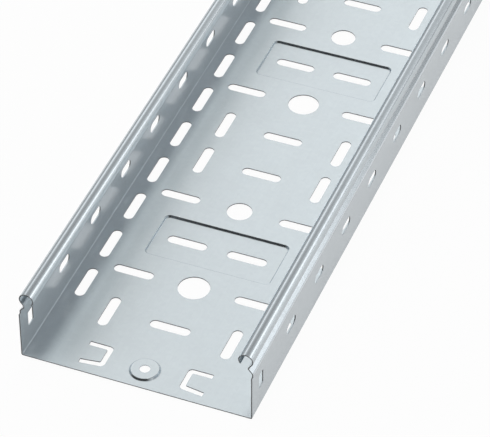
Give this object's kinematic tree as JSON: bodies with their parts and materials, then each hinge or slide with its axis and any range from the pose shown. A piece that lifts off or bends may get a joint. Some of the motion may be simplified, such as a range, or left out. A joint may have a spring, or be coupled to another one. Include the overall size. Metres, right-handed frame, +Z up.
{
  "type": "perforated cable tray",
  "caption": "Straight perforated cable tray of bent sheet steel, with a slotted floor, pressed panels, slotted sides and rolled lips, for carrying cables along a run.",
  "frame": {"origin": "middle of the tray's length and width, on the plane of the pressed panels' undersides, which it rests on", "axes": "+X across the tray, +Y along it away from the end that the picture shows, +Z up out of the open side"},
  "size_m": [0.151, 2, 0.0514],
  "materials": {
    "galvanised_sheet": "zinc-coated cold-rolled sheet, satin, with faint spangle and lengthwise rolling grain"
  },
  "bodies": {
    "root": {"tray": "galvanised_sheet"}
  },
  "joints": []
}
